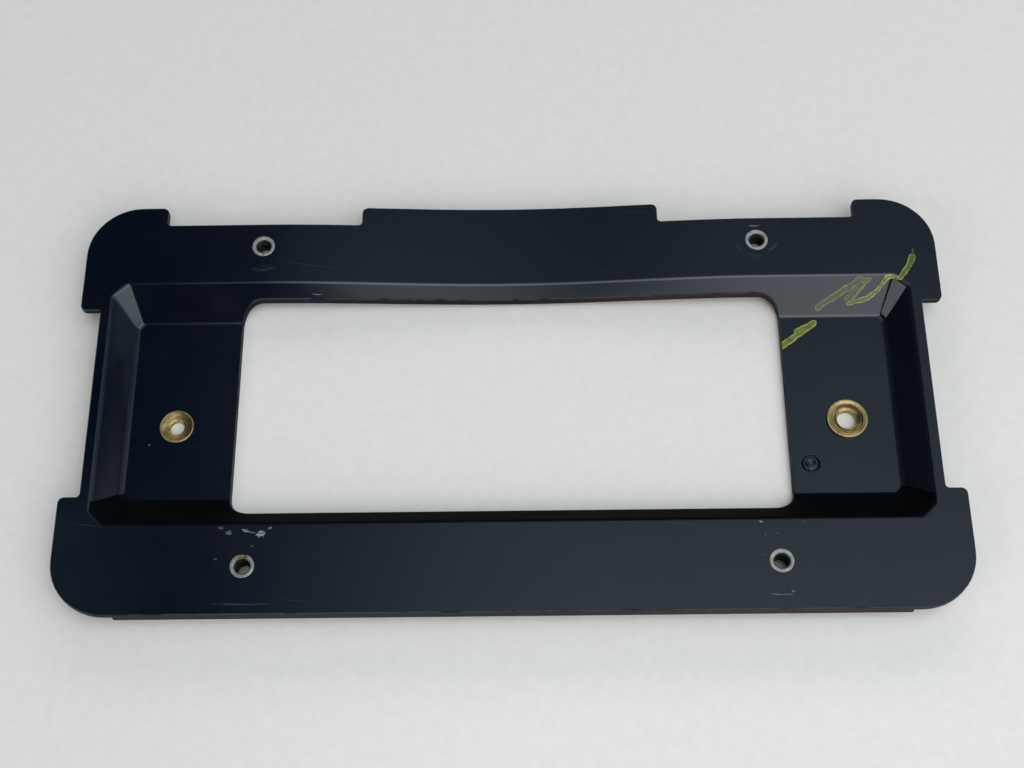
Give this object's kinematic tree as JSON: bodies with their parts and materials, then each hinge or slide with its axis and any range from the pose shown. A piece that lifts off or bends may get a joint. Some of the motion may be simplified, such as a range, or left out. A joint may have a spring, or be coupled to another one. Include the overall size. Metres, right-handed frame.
{
  "type": "number plate holder",
  "caption": "Moulded backing tray for a car number plate, with a recess, a window, threaded plate screw inserts and flanged bushes for the body screws.",
  "frame": {"origin": "under the middle of the plate screw pattern, on the surface that the recess floor rests on", "axes": "+X along the plate to its right end, +Y towards its top edge, +Z out of the face that carries the plate"},
  "size_m": [0.3054, 0.1534, 0.0125],
  "materials": {
    "moulded_plastic": "satin blue-black, scuffed",
    "insert_steel": "dull zinc plated",
    "bush_brass": "stained brass"
  },
  "bodies": {
    "root": {"holder_plate": "moulded_plastic", "insert_upper_left": "insert_steel", "insert_upper_right": "insert_steel", "insert_lower_left": "insert_steel", "insert_lower_right": "insert_steel", "mounting_bush_left": "bush_brass", "mounting_bush_right": "bush_brass"}
  },
  "joints": []
}
